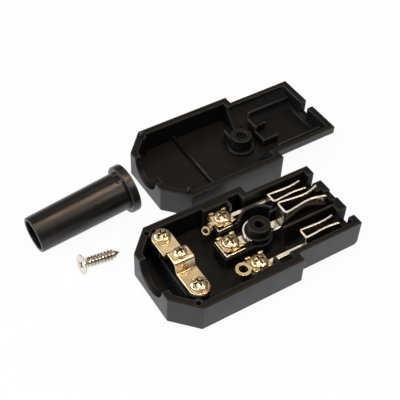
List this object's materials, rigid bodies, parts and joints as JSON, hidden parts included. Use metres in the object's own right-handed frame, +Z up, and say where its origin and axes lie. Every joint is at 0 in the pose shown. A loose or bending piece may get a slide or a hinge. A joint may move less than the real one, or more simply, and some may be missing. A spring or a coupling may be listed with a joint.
{
  "type": "rewireable c13 power connector",
  "caption": "Rewireable plug connector for appliance inlets, opened: lower shell with contacts, screw terminals and cord clamp, cover lying inverted, bend relief boot and housing screw.",
  "frame": {"origin": "on the underside of the lower shell, on its centre line, under the shoulder where the nose leaves the grip body", "axes": "+X out of the nose, towards the inlet; +Y across, towards the cover that lies beside the lower shell; +Z up, from the underside to the parting plane"},
  "size_m": [0.0885, 0.0604, 0.0132],
  "materials": {
    "shell_plastic": "satin moulded plastic",
    "boot_plastic": "semi-gloss flexible plastic",
    "contact_metal": "nickel-plated spring brass, bright",
    "clamp_metal": "yellow-passivated zinc-plated steel",
    "screw_steel": "yellow-passivated zinc-plated steel",
    "zinc_steel": "bright zinc-plated steel"
  },
  "bodies": {
    "root": {"lower_shell": "shell_plastic", "upper_shell": "shell_plastic", "bend_relief_boot": "boot_plastic", "housing_screw": "zinc_steel", "line_contact": "contact_metal", "neutral_contact": "contact_metal", "earth_contact": "contact_metal"},
    "cord_clamp": {"cord_clamp_strap": "clamp_metal"},
    "clamp_screw_left": {"clamp_screw_left": "screw_steel"},
    "clamp_screw_right": {"clamp_screw_right": "screw_steel"},
    "pressure_screw": {"cord_pressure_screw": "screw_steel"},
    "line_clamp": {"line_clamp_plate": "clamp_metal"},
    "line_screw": {"line_terminal_screw": "screw_steel"},
    "neutral_clamp": {"neutral_clamp_plate": "clamp_metal"},
    "neutral_screw": {"neutral_terminal_screw": "screw_steel"},
    "earth_clamp": {"earth_clamp_plate": "clamp_metal"},
    "earth_screw": {"earth_terminal_screw": "screw_steel"}
  },
  "joints": [
    {"name": "cord_clamp_lift", "type": "slide", "parent": "root", "child": "cord_clamp", "axis": [0, 0, 1], "range_m": [0, 0.0015]},
    {"name": "clamp_screw_left_turn", "type": "hinge", "parent": "cord_clamp", "child": "clamp_screw_left", "pos_m": [-0.0266, 0.0085, 0.009], "axis": [0, 0, 1], "range_deg": [0, 1080]},
    {"name": "clamp_screw_right_turn", "type": "hinge", "parent": "cord_clamp", "child": "clamp_screw_right", "pos_m": [-0.0266, -0.0085, 0.009], "axis": [0, 0, 1], "range_deg": [0, 1080]},
    {"name": "pressure_screw_turn", "type": "hinge", "parent": "cord_clamp", "child": "pressure_screw", "pos_m": [-0.0266, 0, 0.0117], "axis": [0, 0, 1], "range_deg": [0, 720]},
    {"name": "line_clamp_lift", "type": "slide", "parent": "root", "child": "line_clamp", "axis": [0, 0, 1], "range_m": [0, 0.001]},
    {"name": "line_screw_turn", "type": "hinge", "parent": "line_clamp", "child": "line_screw", "pos_m": [-0.0093, 0.0083, 0.0064], "axis": [0, 0, 1], "range_deg": [0, 720]},
    {"name": "neutral_clamp_lift", "type": "slide", "parent": "root", "child": "neutral_clamp", "axis": [0, 0, 1], "range_m": [0, 0.001]},
    {"name": "neutral_screw_turn", "type": "hinge", "parent": "neutral_clamp", "child": "neutral_screw", "pos_m": [-0.0093, -0.0083, 0.0064], "axis": [0, 0, 1], "range_deg": [0, 720]},
    {"name": "earth_clamp_lift", "type": "slide", "parent": "root", "child": "earth_clamp", "axis": [0, 0, 1], "range_m": [0, 0.001]},
    {"name": "earth_screw_turn", "type": "hinge", "parent": "earth_clamp", "child": "earth_screw", "pos_m": [-0.0123, 0, 0.007], "axis": [0, 0, 1], "range_deg": [0, 720]}
  ],
  "couplings": [
    {"joint": "clamp_screw_left_turn", "follows": "cord_clamp_lift", "rad_per_m": 12566},
    {"joint": "clamp_screw_right_turn", "follows": "cord_clamp_lift", "rad_per_m": 12566},
    {"joint": "line_screw_turn", "follows": "line_clamp_lift", "rad_per_m": 12566},
    {"joint": "neutral_screw_turn", "follows": "neutral_clamp_lift", "rad_per_m": 12566},
    {"joint": "earth_screw_turn", "follows": "earth_clamp_lift", "rad_per_m": 12566}
  ]
}
